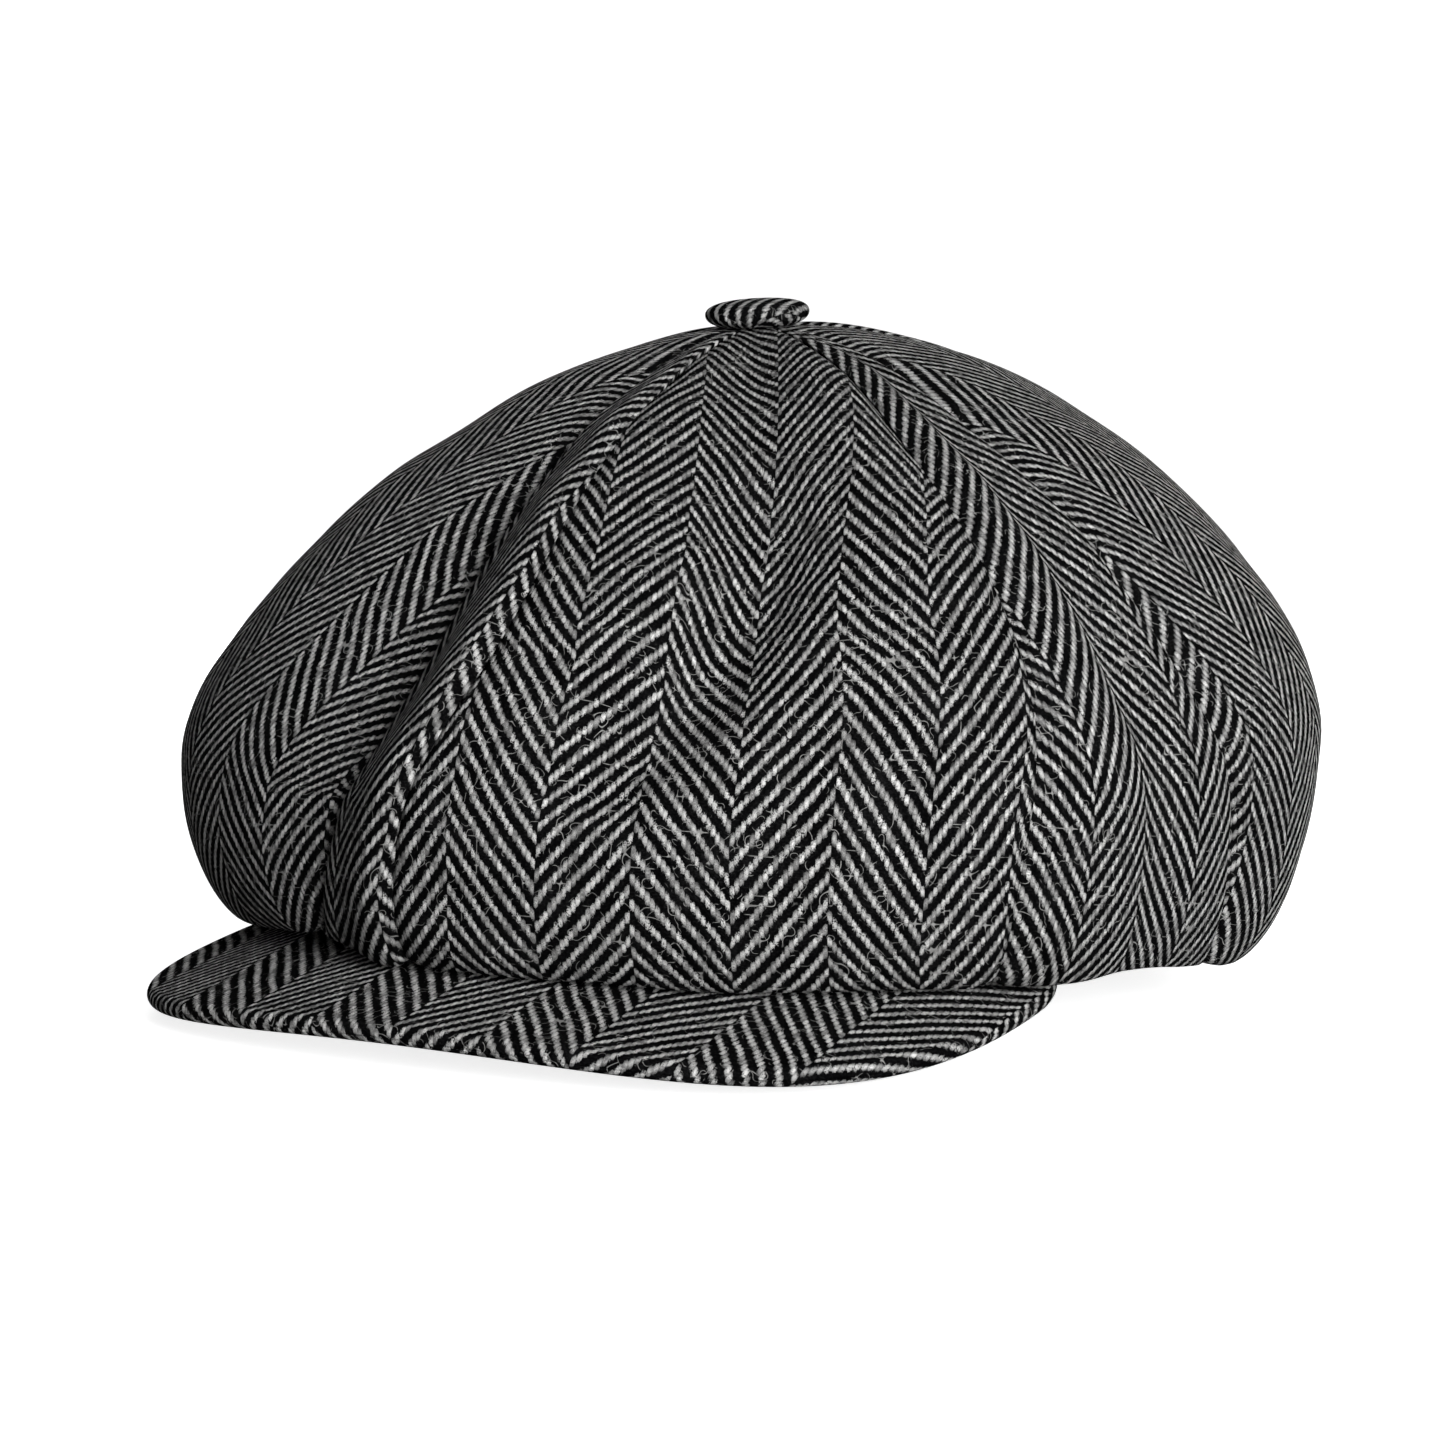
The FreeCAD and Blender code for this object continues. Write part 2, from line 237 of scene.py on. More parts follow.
def even_profile(parts):
    """Joins cubic curves, given as poles of radius and of height, and spaces points evenly."""
    t = np.linspace(0, 1, PROFILE_STEPS)[:, None]
    radius = np.concatenate([bezier(radii, t) for radii, heights in parts])
    height = np.concatenate([bezier(heights, t) for radii, heights in parts])
    run = np.zeros_like(radius)
    run[1:] = np.cumsum(np.hypot(np.diff(radius, axis=0), np.diff(height, axis=0)), axis=0)
    share = np.linspace(0, 1, ROWS)
    even = [
        (np.interp(share * way[-1], way, r), np.interp(share * way[-1], way, h))
        for way, r, h in zip(run.T, radius.T, height.T)
    ]
    return np.array(even).transpose(1, 2, 0)


def in_space(radius, height, azimuth):
    """Places radii and heights in space. Above the headband the dome leans to the peak."""
    forward = radius * np.cos(azimuth)
    lean = CROWN_TILT * forward * np.maximum(height - BAND_HEIGHT, 0) / (CROWN_HEIGHT - BAND_HEIGHT)
    return np.stack([radius * np.sin(azimuth), -forward, height - lean], axis=-1)


def surface(profile, azimuth):
    """Points of a profile where every row and column has its own azimuth."""
    table = np.arange(TABLE_START, TABLE_END + 1)
    radii, heights = profile(np.radians(table))
    row = np.arange(azimuth.shape[0])[:, None] + np.zeros_like(azimuth, int)
    place = np.degrees(azimuth) - TABLE_START
    low = np.clip(place.astype(int), 0, len(table) - 2)
    share = place - low
    radius = radii[row, low] * (1 - share) + radii[row, low + 1] * share
    height = heights[row, low] * (1 - share) + heights[row, low + 1] * share
    return in_space(radius, height, azimuth)


def outward(points):
    """Unit normals of a grid of points, pointing out of the cap."""
    down = np.gradient(points, axis=0)
    across = np.gradient(points, axis=1)
    normal = np.cross(down, across)
    return normal / np.maximum(np.linalg.norm(normal, axis=-1, keepdims=True), 1e-12)


def lengths(points, axis):
    """Distance run along one axis of a grid of points, from its first point."""
    step = np.linalg.norm(np.diff(points, axis=axis), axis=-1)
    start = np.zeros_like(np.take(step, [0], axis=axis))
    return np.concatenate([start, np.cumsum(step, axis=axis)], axis=axis)


def ripple(points, size, seed):
    """Smooth unevenness from -1 to 1, with bumps of about the given size."""
    flat = points.reshape(-1, 3) / size
    values = [noise.noise(Vector(p) + Vector((seed, 0, 0))) for p in flat]
    return np.array(values).reshape(points.shape[:-1])


def gore(index, profile):
    """Points over one panel of a dome, between two seams, and their places down and across."""
    first, last = SEAMS[index][0], SEAMS[(index + 1) % len(SEAMS)][0]
    level = np.linspace(0, 1, ROWS)
    even = np.linspace(0, 1, COLUMNS)
    across = (1 - COLUMN_CROWDING) * even + COLUMN_CROWDING * (1 - np.cos(math.pi * even)) / 2
    start = through(first, level)[:, None]
    end = through(last, level)[:, None] + (360 if last[0] < first[0] else 0)
    return surface(profile, np.radians(start + (end - start) * across)), level, across


def sunk(points, index, level, across):
    """Presses a panel into the valleys at its seams and into its own hollows."""
    normal = outward(points)
    first, last = SEAMS[index], SEAMS[(index + 1) % len(SEAMS)]
    first_turn, last_turn, hollows, shares, _ = PANELS[index]
    sink = through(first[1], level)[:, None] * (1 - across) ** first_turn
    sink = sink + through(last[1], level)[:, None] * across ** last_turn
    sink = sink + through(shares, level)[:, None] * through(hollows, across)
    run = lengths(points, 1)
    width = run[:, -1:]
    for seam, from_seam in ((first, run), (last, width - run)):
        lip = seam[2] * np.exp(-(from_seam / SEAM_LIP_WIDTH) ** 2)
        sink = sink + lip * smoothstep(0, FULL_LIP_PANEL_WIDTH, width)
    return points - normal * (sink * MM)[..., None]


def folded(points, level, across, path, depth, width):
    """Presses a soft fold into a panel, along a path of places across and down it."""
    share = np.linspace(0, 1, FOLD_STEPS)
    column = np.searchsorted(across, through([place[0] for place in path], share))
    row = np.searchsorted(level, through([place[1] for place in path], share))
    line = points[row, column]
    away = np.linalg.norm(points[:, :, None] - line, axis=-1)
    swell = np.sin(math.pi * (FOLD_END + (1 - 2 * FOLD_END) * share))
    strength = depth * swell * np.exp(-(away / width) ** 2)
    return points - outward(points) * strength.max(axis=-1)[..., None]


def grid_mesh(name, points, cloth=None, ring=False):
    """An object over a grid of points, with its cloth coordinates kept in a UV map."""
    rows, columns = points.shape[:2]
    number = np.arange(rows * columns).reshape(rows, columns)
    if ring:
        number = np.concatenate([number, number[:, :1]], axis=1)
    corners = (number[:-1, :-1], number[1:, :-1], number[1:, 1:], number[:-1, 1:])
    faces = np.stack(corners, axis=-1).reshape(-1, 4)
    mesh = bpy.data.meshes.new(name)
    mesh.from_pydata(points.reshape(-1, 3).tolist(), [], faces.tolist())
    if cloth is not None:
        layer = mesh.uv_layers.new(name="cloth")
        layer.data.foreach_set("uv", cloth.reshape(-1, 2)[faces.ravel()].ravel())
    mesh.shade_smooth()
    piece = bpy.data.objects.new(name, mesh)
    bpy.context.scene.collection.objects.link(piece)
    return piece


def thicken(piece, thickness):
    """Gives a sheet its thickness, on the side away from its outer face."""
    solidify = piece.modifiers.new("thickness", "SOLIDIFY")
    solidify.thickness = thickness
    solidify.offset = -1
    solidify.use_even_offset = False
    solidify.use_quality_normals = True


def belongs(piece, body, slot, material, *replaced):
    """Joins a piece to its CAD body with its material, in place of the CAD nodes named. The slot is not used.
    """
    piece.data.materials.append(material)
    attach(piece, body)
    if replaced:
        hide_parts(*replaced)


# Materials


class Value:
    """A number in a node tree, so that sums of nodes are written as ordinary sums."""

    def __init__(self, tree, source):
        self.tree = tree
        self.source = source

    def math(self, operation, *others):
        node = self.tree.nodes.new("ShaderNodeMath")
        node.operation = operation
        for slot, value in zip(node.inputs, (self,) + others):
            if isinstance(value, Value):
                self.tree.links.new(value.source, slot)
            else:
                slot.default_value = value
        return Value(self.tree, node.outputs[0])

    def __add__(self, other):
        return self.math("ADD", other)

    def __sub__(self, other):
        return self.math("SUBTRACT", other)

    def __mul__(self, other):
        return self.math("MULTIPLY", other)

    def __truediv__(self, other):
        return self.math("DIVIDE", other)

    def floor(self):
        return self.math("FLOOR")

    def fraction(self):
        return self.math("FRACT")

    def ramp(self, low, high):
        """Goes smoothly from 0 at low to 1 at high."""
        node = self.tree.nodes.new("ShaderNodeMapRange")
        node.interpolation_type = "SMOOTHSTEP"
        self.tree.links.new(self.source, node.inputs["Value"])
        node.inputs["From Min"].default_value = low
        node.inputs["From Max"].default_value = high
        return Value(self.tree, node.outputs["Result"])


class Shader:
    """A new material with a Principled shader, and short names for the nodes it uses."""

    def __init__(self, name):
        self.material = bpy.data.materials.new(name)
        self.material.use_nodes = True
        self.tree = self.material.node_tree
        self.surface = self.tree.nodes["Principled BSDF"]

    def cloth(self):
        """The cloth coordinates: metres across the grain and along it."""
        node = self.tree.nodes.new("ShaderNodeUVMap")
        node.uv_map = "cloth"
        return self.split(node.outputs["UV"])

    def place(self):
        """The piece's own coordinates, in metres."""
        node = self.tree.nodes.new("ShaderNodeTexCoord")
        return self.split(node.outputs["Object"])

    def split(self, vector):
        node = self.tree.nodes.new("ShaderNodeSeparateXYZ")
        self.tree.links.new(vector, node.inputs[0])
        return [Value(self.tree, output) for output in node.outputs]

    def join(self, *values):
        node = self.tree.nodes.new("ShaderNodeCombineXYZ")
        for slot, value in zip(node.inputs, values):
            if isinstance(value, Value):
                self.tree.links.new(value.source, slot)
            else:
                slot.default_value = value
        return node.outputs[0]

    def noise(self, vector, scale, detail=2.0, roughness=0.5):
        node = self.tree.nodes.new("ShaderNodeTexNoise")
        self.tree.links.new(vector, node.inputs["Vector"])
        node.inputs["Scale"].default_value = scale
        node.inputs["Detail"].default_value = detail
        node.inputs["Roughness"].default_value = roughness
        return Value(self.tree, node.outputs["Fac"])

    def strays(self, vector, scale, seed):
        """Short stray fibres: broken pieces of the level lines of a soft noise."""
        shifted = self.tree.nodes.new("ShaderNodeVectorMath")
        self.tree.links.new(vector, shifted.inputs[0])
        shifted.inputs[1].default_value = (seed, seed, seed)
        lines = self.noise(shifted.outputs["Vector"], scale, 0)
        gaps = self.noise(shifted.outputs["Vector"], scale * 0.7, 1)
        width = (lines - 0.5).math("ABSOLUTE") * -1.0
        return width.ramp(-0.012, -0.004) * gaps.ramp(0.54, 0.6)

    def random(self, *values):
        """A different value from 0 to 1 for each whole-numbered place."""
        node = self.tree.nodes.new("ShaderNodeTexWhiteNoise")
        self.tree.links.new(self.join(*values), node.inputs["Vector"])
        return Value(self.tree, node.outputs["Value"])

    def mix(self, share, first, second):
        """A colour between two, each a tuple or an earlier mix."""
        node = self.tree.nodes.new("ShaderNodeMix")
        node.data_type = "RGBA"
        self.tree.links.new(share.source, node.inputs["Factor"])
        for slot, colour in zip((node.inputs["A"], node.inputs["B"]), (first, second)):
            if isinstance(colour, tuple):
                slot.default_value = colour + (1,)
            else:
                self.tree.links.new(colour, slot)
        for output in node.outputs:
            if output.type == "RGBA":
                return output

    def set(self, name, value):
        slot = self.surface.inputs[name]
        if isinstance(value, Value):
            self.tree.links.new(value.source, slot)
        elif isinstance(value, bpy.types.NodeSocket):
            self.tree.links.new(value, slot)
        else:
            slot.default_value = value

    def relief(self, height, depth, strength=1.0):
        """Bumps from a height of 0 to 1 that stands for a depth in metres."""
        node = self.tree.nodes.new("ShaderNodeBump")
        node.inputs["Strength"].default_value = strength
        node.inputs["Distance"].default_value = depth
        self.tree.links.new(height.source, node.inputs["Height"])
        self.tree.links.new(node.outputs["Normal"], self.surface.inputs["Normal"])


BLACK_WOOL = (0.0012, 0.0012, 0.0013)
GREY_WOOL = (0.015, 0.015, 0.0153)
PALE_WOOL = (0.13, 0.129, 0.127)
WHITE_WOOL = (0.95, 0.945, 0.93)
STRAY_WOOL = (0.30, 0.298, 0.29)

# How far yarns wander, and the scales of the noises that lead them
YARN_WANDER = 1.6 * MM
FLOAT_WANDER = 2.2 * MM
YARN_WANDER_SCALE = 45
FLOAT_WANDER_SCALE = 60

# A pale float: its slant, its step from yarn to yarn, its roundness and its fuzz
FLOAT_SLANT = 0.45
FLOAT_STEP = 0.25
ACROSS_POWER = 2.2
ACROSS_WEIGHT = 1.7
ALONG_WEIGHT = 15
FINE_FUZZ = 3.4
COARSE_FUZZ = 2.4
SIZE_SPREAD = 0.4
FLOAT_EDGE = (-1.05, -0.25)
FLOAT_ROUND = (-1.0, 0.1)
TONE_RANGE = (0.78, 1.34)
DARK_RANGE = (0.48, 0.85)
STRAY_SHARE = 0.7
CLOTH_RELIEF = 0.5 * MM

SATIN_DARK = (0.010, 0.010, 0.012)
SATIN_LIGHT = (0.026, 0.026, 0.03)
TWILL_PITCH = 0.45 * MM
# Rib colours: the darker one is painted shade in the grooves between the ribs
RIB_LIGHT = (0.028, 0.028, 0.03)
RIB_GROOVE_SHADE = (0.009, 0.009, 0.01)
RIB_PITCH = 1.1 * MM
RIB_THREAD_PITCH = 0.5 * MM
TAPE_DARK = (0.5, 0.48, 0.42)
TAPE_LIGHT = (0.68, 0.66, 0.6)
TAPE_WEAVE = 4000.0
SHEET_DARK = (0.02, 0.02, 0.021)
SHEET_LIGHT = (0.035, 0.035, 0.036)
STEEL_DARK = (0.42, 0.42, 0.43)
STEEL_LIGHT = (0.62, 0.62, 0.63)
# Thread colours: the darker one is painted shade in the grooves of the twist
THREAD_GROOVE_SHADE = (0.02, 0.02, 0.021)
THREAD_LIGHT = (0.05, 0.05, 0.052)
THREAD_TWIST = 9000.0


def tweed(name):
    """Herringbone wool: pale yarns run down the cloth and pass over two dark ones at a time."""
    shader = Shader(name)
    across, along, _ = shader.cloth()
    flat = shader.join(across, along, 0.0)
    drift = shader.noise(flat, YARN_WANDER_SCALE)
    sway = shader.noise(shader.join(along, across, 0.5), FLOAT_WANDER_SCALE)
    across = across + (drift - 0.5) * YARN_WANDER
    along = along + (sway - 0.5) * FLOAT_WANDER
    yarn = across / YARN
    number = yarn.floor()
    from_yarn = yarn - number - 0.5
    column = (number / YARNS_PER_COLUMN + 0.001).floor()
    from_turn = (number + 0.5 + from_yarn * FLOAT_SLANT).math("PINGPONG", float(YARNS_PER_COLUMN))
    turned = column.math("MODULO", 2.0)
    phase = along / PITCH + from_turn * FLOAT_STEP + turned * 0.5
    float_number = phase.floor()
    from_float = phase - float_number - 0.5
    fine = shader.noise(shader.join(across * 1.6, along, 0.3), 2400, 3, 0.62)
    coarse = shader.noise(flat, 560, 2, 0.5)
    size = shader.random(number, float_number, 1.0)
    reach = (
        from_yarn.math("ABSOLUTE").math("POWER", ACROSS_POWER) * ACROSS_WEIGHT
        + from_float.math("ABSOLUTE").math("POWER", 2.0) * ALONG_WEIGHT
        + (fine - 0.5) * FINE_FUZZ + (coarse - 0.5) * COARSE_FUZZ + (size - 0.5) * SIZE_SPREAD
    )
    pale = (reach * -1.0).ramp(*FLOAT_EDGE)
    roundness = (reach * -1.0).ramp(*FLOAT_ROUND)
    wear = shader.noise(flat, 90, 3, 0.6)
    lightness = (size * 0.35 + fine * 0.9 + coarse * 0.9).ramp(*TONE_RANGE)
    tone = shader.mix(lightness, PALE_WOOL, WHITE_WOOL)
    hairs = shader.noise(shader.join(across, along * 2.0, 0.9), 1500, 4, 0.7)
    dark = shader.mix((hairs * 0.8 + wear * 0.3).ramp(*DARK_RANGE), BLACK_WOOL, GREY_WOOL)
    strays = shader.strays(flat, 260, 0.3) + shader.strays(flat, 410, 7.3)
    cloth = shader.mix(pale, dark, tone)
    shader.set("Base Color", shader.mix(strays.math("MINIMUM", STRAY_SHARE), cloth, STRAY_WOOL))
    shader.set("Roughness", 0.95)
    shader.set("Specular IOR Level", 0.0)
    weft = (from_float.math("ABSOLUTE") * 3.0).ramp(0.6, 1.5) * 0.45
    shader.relief(roundness + weft + fine * 0.45 + coarse * 0.2, CLOTH_RELIEF)
    return shader.material


def satin(name):
    """Thin black lining cloth with a faint twill line and a soft sheen."""
    shader = Shader(name)
    across, along, _ = shader.cloth()
    twill = ((across + along) / TWILL_PITCH).fraction()
    slub = shader.noise(shader.join(across, along * 8.0, 0.0), 300, 3)
    creases = shader.noise(shader.join(across, along * 0.4, 0.0), 38, 3)
    shader.set("Base Color", shader.mix(slub.ramp(0.3, 0.8), SATIN_DARK, SATIN_LIGHT))
    shader.set("Roughness", (slub * 0.2) + 0.36)
    shader.set("Sheen Weight", 0.25)
    shader.relief(twill * 0.12 + slub * 0.15 + creases, 0.6 * MM, 0.6)
    return shader.material


def ribbed(name):
    """Black cotton band with close upright ribs, with painted shade in the grooves between them."""
    shader = Shader(name)
    across, along, _ = shader.cloth()
    rib = (across / RIB_PITCH).fraction().math("SUBTRACT", 0.5).math("ABSOLUTE") * 2.0
    thread = (along / RIB_THREAD_PITCH).fraction().math("SUBTRACT", 0.5).math("ABSOLUTE") * 2.0
    fuzz = shader.noise(shader.join(across, along, 0.0), 900, 3)
    # Painted shade: the colour darkens towards the grooves between the ribs, with some random fuzz
    depth = (rib * 0.6 + fuzz * 0.6).ramp(0.2, 1.0)
    shader.set("Base Color", shader.mix(depth, RIB_LIGHT, RIB_GROOVE_SHADE))
    shader.set("Roughness", 0.85)
    shader.set("Sheen Weight", 0.15)
    shader.relief((rib * -0.7) + thread * 0.2 + fuzz * 0.3, 0.4 * MM)
    return shader.material


def woven_tape(name):
    """Off-white stiffening tape with a plain weave."""
    shader = Shader(name)
    x, y, z = shader.place()
    weave = (x * TAPE_WEAVE).math("SINE") * (z * TAPE_WEAVE).math("SINE")
    fuzz = shader.noise(shader.join(x, y, z), 700, 3)
    shader.set("Base Color", shader.mix(fuzz, TAPE_DARK, TAPE_LIGHT))
    shader.set("Roughness", 0.9)
    shader.relief(weave * 0.4 + fuzz, 0.2 * MM)
    return shader.material


def moulded(name):
    """Matt black moulded sheet with a fine grain."""
    shader = Shader(name)
    x, y, z = shader.place()
    grain = shader.noise(shader.join(x, y, z), 1400, 2)
    shader.set("Base Color", shader.mix(grain, SHEET_DARK, SHEET_LIGHT))
    shader.set("Roughness", (grain * 0.2) + 0.5)
    shader.relief(grain, 0.05 * MM)
    return shader.material


def steel(name):
    """Plain pressed steel with fine drawing marks."""
    shader = Shader(name)
    x, y, z = shader.place()
    marks = shader.noise(shader.join(x, y * 12.0, z), 900, 3)
    shader.set("Base Color", shader.mix(marks, STEEL_DARK, STEEL_LIGHT))
    shader.set("Metallic", 1.0)
    shader.set("Roughness", (marks * 0.25) + 0.25)
    shader.relief(marks, 0.02 * MM)
    return shader.material


def thread(name):
    """Sewing thread with a fine twist, with painted shade in the grooves of the twist."""
    shader = Shader(name)
    x, y, z = shader.place()
    twist = ((x + y + z) * THREAD_TWIST).math("SINE") * 0.5 + 0.5
    # Painted shade: darker where the twist relief is low
    shader.set("Base Color", shader.mix(twist, THREAD_GROOVE_SHADE, THREAD_LIGHT))
    shader.set("Roughness", 0.7)
    shader.relief(twist, 0.05 * MM)
    return shader.material


# Crown

EASE_AT_TOP = 0.16
EASE_FADE = (0.15, 0.6)
# Unevenness of the cloth: size and height of the bumps, and a number that sets their pattern
RIPPLES = ((34 * MM, 1.3 * MM, 3.1), (14 * MM, 0.35 * MM, 8.7))
RIPPLE_START = (0.03, 0.2)
RIPPLE_END = (0.86, 0.97)


def make_crown(material):
    for index, name in enumerate(PANEL_NAMES):
        points, level, across = gore(index, crown_profile)
        points = sunk(points, index, level, across)
        if name == "front_left":
            points = folded(points, level, across, FRONT_FOLD, FOLD_DEPTH, FOLD_WIDTH)
        soft = sum(ripple(points, size, seed) * height for size, height, seed in RIPPLES)
        fade = (smoothstep(*RIPPLE_START, level) * (1 - smoothstep(*RIPPLE_END, level)))[:, None]
        points = points + outward(points) * (soft * fade)[..., None]
        grain = np.argmin(abs(across - 0.5))
        run = lengths(points, 1)
        ease = 1 + EASE_AT_TOP * (1 - smoothstep(*EASE_FADE, level))
        offset = through(PANELS[index][-1], level)[:, None] * MM
        u = (run - run[:, grain:grain + 1]) * ease[:, None] - offset
        v = lengths(points[:, grain:grain + 1], 0) + np.zeros_like(u)
        piece = grid_mesh("crown_" + name, points, np.stack([u, v], axis=-1))
        thicken(piece, CLOTH)
        belongs(piece, "cap", "tweed", material, "crown_panel_" + name)


# Lining

LINING_CLEARANCE = 5 * MM
LINING_TUCK = 1.2 * MM
LINING_OVERLAP = 6 * MM
LINING_CLOTH = 0.6 * MM
LINING_FIRST_ROW = 4
CREASE_SIZE = 22 * MM
CREASE_DEPTH = 1.2 * MM
CREASE_SEED = 5.3
CREASE_FADE = (0.0, 0.15)


def make_lining(material):
    for index, name in enumerate(PANEL_NAMES):
        points, level, _ = gore(index, lining_profile)
        points = points[LINING_FIRST_ROW:]
        normal = outward(points)
        fade = smoothstep(*CREASE_FADE, 1 - level[LINING_FIRST_ROW:])[:, None]
        crease = (1 + ripple(points, CREASE_SIZE, CREASE_SEED)) * CREASE_DEPTH * fade
        points = points - normal * crease[..., None]
        run = lengths(points, 1)
        v = lengths(points, 0)
        piece = grid_mesh("lining_" + name, points, np.stack([run, v], axis=-1))
        thicken(piece, LINING_CLOTH)
        belongs(piece, "cap", "lining", material, "lining_panel_" + name)


# Headband

BAND_STEPS = 360
BAND_ROWS = 16
BAND_CORNER_STEPS = 7
BAND_THICKNESS = 1.8 * MM
SWEATBAND_THICKNESS = 1.2 * MM


def oval_band(name, node, thickness, material, slot):
    """An upright oval band with rounded edges, in place of its CAD node."""
    low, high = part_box(node)
    corner = thickness / 2
    turn = np.linspace(0, math.pi, BAND_CORNER_STEPS)[1:-1]
    bend = corner * np.cos(turn)
    rise = corner * np.sin(turn)
    heights = np.linspace(low.z + corner, high.z - corner, BAND_ROWS)
    outside = np.full(BAND_ROWS, thickness)
    inside = np.zeros(BAND_ROWS)
    out = np.concatenate([outside, corner + bend, inside, corner - bend])
    up = np.concatenate([heights, high.z - corner + rise, heights[::-1], low.z + corner - rise])
    azimuth = np.linspace(0, 2 * math.pi, BAND_STEPS + 1)
    radius = ellipse_radius(high.x - thickness, high.y - thickness, azimuth)
    reach = radius[:, None] + out
    points = np.stack([
        reach * np.sin(azimuth)[:, None], -reach * np.cos(azimuth)[:, None], np.zeros_like(reach) + up,
    ], axis=-1)
    u = lengths(points, 0)[:, :1] + np.zeros_like(reach)
    v = lengths(points, 1)
    piece = grid_mesh(name, points, np.stack([u, v], axis=-1), ring=True)
    piece.data.flip_normals()
    belongs(piece, "cap", slot, material, node)


STITCH_PITCH = 4.0 * MM
STITCH_LENGTH = 3.1 * MM
STITCH_RADIUS = 0.32 * MM
STITCH_STEPS = (-0.5, -0.42, -0.2, 0.2, 0.42, 0.5)
STITCH_SWELL = (0.05, 0.7, 1.0, 1.0, 0.7, 0.05)
STITCH_SIDES = 8
STITCH_INSET = 2.6 * MM
STITCH_SUNK = 0.3
STITCH_TABLE_STEPS = 721


def make_stitches(material):
    """Two rows of stitches inside the sweatband, near its lower and its upper edge."""
    low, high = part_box("sweatband")
    half_width = high.x - SWEATBAND_THICKNESS
    half_length = high.y - SWEATBAND_THICKNESS
    table = np.linspace(0, 2 * math.pi, STITCH_TABLE_STEPS)
    radius = ellipse_radius(half_width, half_length, table)
    run = lengths(np.stack([radius * np.sin(table), -radius * np.cos(table)], axis=-1), 0)
    count = round(run[-1] / STITCH_PITCH)
    middle = (np.arange(count) + 0.5) * run[-1] / count
    along = middle[:, None] + np.array(STITCH_STEPS) * STITCH_LENGTH
    azimuth = np.interp(along, run, table)[..., None]
    turn = np.linspace(0, 2 * math.pi, STITCH_SIDES, endpoint=False)
    swell = (np.array(STITCH_SWELL) * STITCH_RADIUS)[None, :, None]
    inside = ellipse_radius(half_width, half_length, azimuth) - swell * (STITCH_SUNK + np.cos(turn))
    for name, height in (("stitches_lower", low.z + STITCH_INSET), ("stitches_upper", high.z - STITCH_INSET)):
        up = height + swell * np.sin(turn) + np.zeros_like(inside)
        points = np.stack([inside * np.sin(azimuth), -inside * np.cos(azimuth), up], axis=-1)
        piece = tubes(name, points)
        belongs(piece, "cap", "sweatband", material)


def tubes(name, points):
    """One mesh of many closed tubes: points by tube, by section along it and round it."""
    count, sections, sides = points.shape[:3]
    number = np.arange(count * sections * sides).reshape(count, sections, sides)
    beside = np.roll(number, -1, axis=2)
    faces = np.stack([number[:, :-1], number[:, 1:], beside[:, 1:], beside[:, :-1]], axis=-1)
    ends = np.concatenate([number[:, 0], number[:, -1, ::-1]])
    mesh = bpy.data.meshes.new(name)
    mesh.from_pydata(points.reshape(-1, 3).tolist(), [], faces.reshape(-1, 4).tolist() + ends.tolist())
    mesh.shade_smooth()
    piece = bpy.data.objects.new(name, mesh)
    bpy.context.scene.collection.objects.link(piece)
    return piece


# Peak

PEAK_FALL_FRONT = math.tan(math.radians(12.6))
PEAK_FALL_SIDE = math.tan(math.radians(28.4))
PEAK_WIDEST_FORWARD = 55 * MM
PEAK_END_FORWARD = 30 * MM
PEAK_END_TAPER = 0.8
PEAK_ROUNDING = 0.73
PEAK_COVER = 1.3 * MM
PEAK_GAP = 0.5 * MM
PEAK_STATIONS = 150
PEAK_STEPS = 40
PEAK_EDGE_STEPS = 14
PEAK_LEAST_REACH = 0.2 * MM
PEAK_CLOTH = PEAK_COVER * 0.8
PEAK_TRIM = 0.5 * MM
OUTLINE_STEPS = 200
OFFSET_RANGE = (-60 * MM, 200 * MM)
OFFSET_HALVINGS = 40


def band_offset(x, y):
    """How far points in plan lie outside the oval at the peak's inner edge."""
    low = np.full_like(x, OFFSET_RANGE[0])
    high = np.full_like(x, OFFSET_RANGE[1])
    for _ in range(OFFSET_HALVINGS):
        middle = (low + high) / 2
        a = BAND_OUTSIDE.x + PEAK_GAP + middle
        b = BAND_OUTSIDE.y + PEAK_GAP + middle
        outside = (x / a) ** 2 + (y / b) ** 2 > 1
        low = np.where(outside, middle, low)
        high = np.where(outside, high, middle)
    return (low + high) / 2


def peak_height(x, y):
    """Height of the peak's upper surface, which falls faster at the sides than in front."""
    offset = band_offset(x, y)
    sideways = x / (BAND_OUTSIDE.x + PEAK_GAP + offset)
    ahead = np.sqrt(np.maximum(1 - sideways ** 2, 0))
    fall = PEAK_FALL_SIDE + (PEAK_FALL_FRONT - PEAK_FALL_SIDE) * ahead
    return PEAK_TOP_HEIGHT - fall * offset


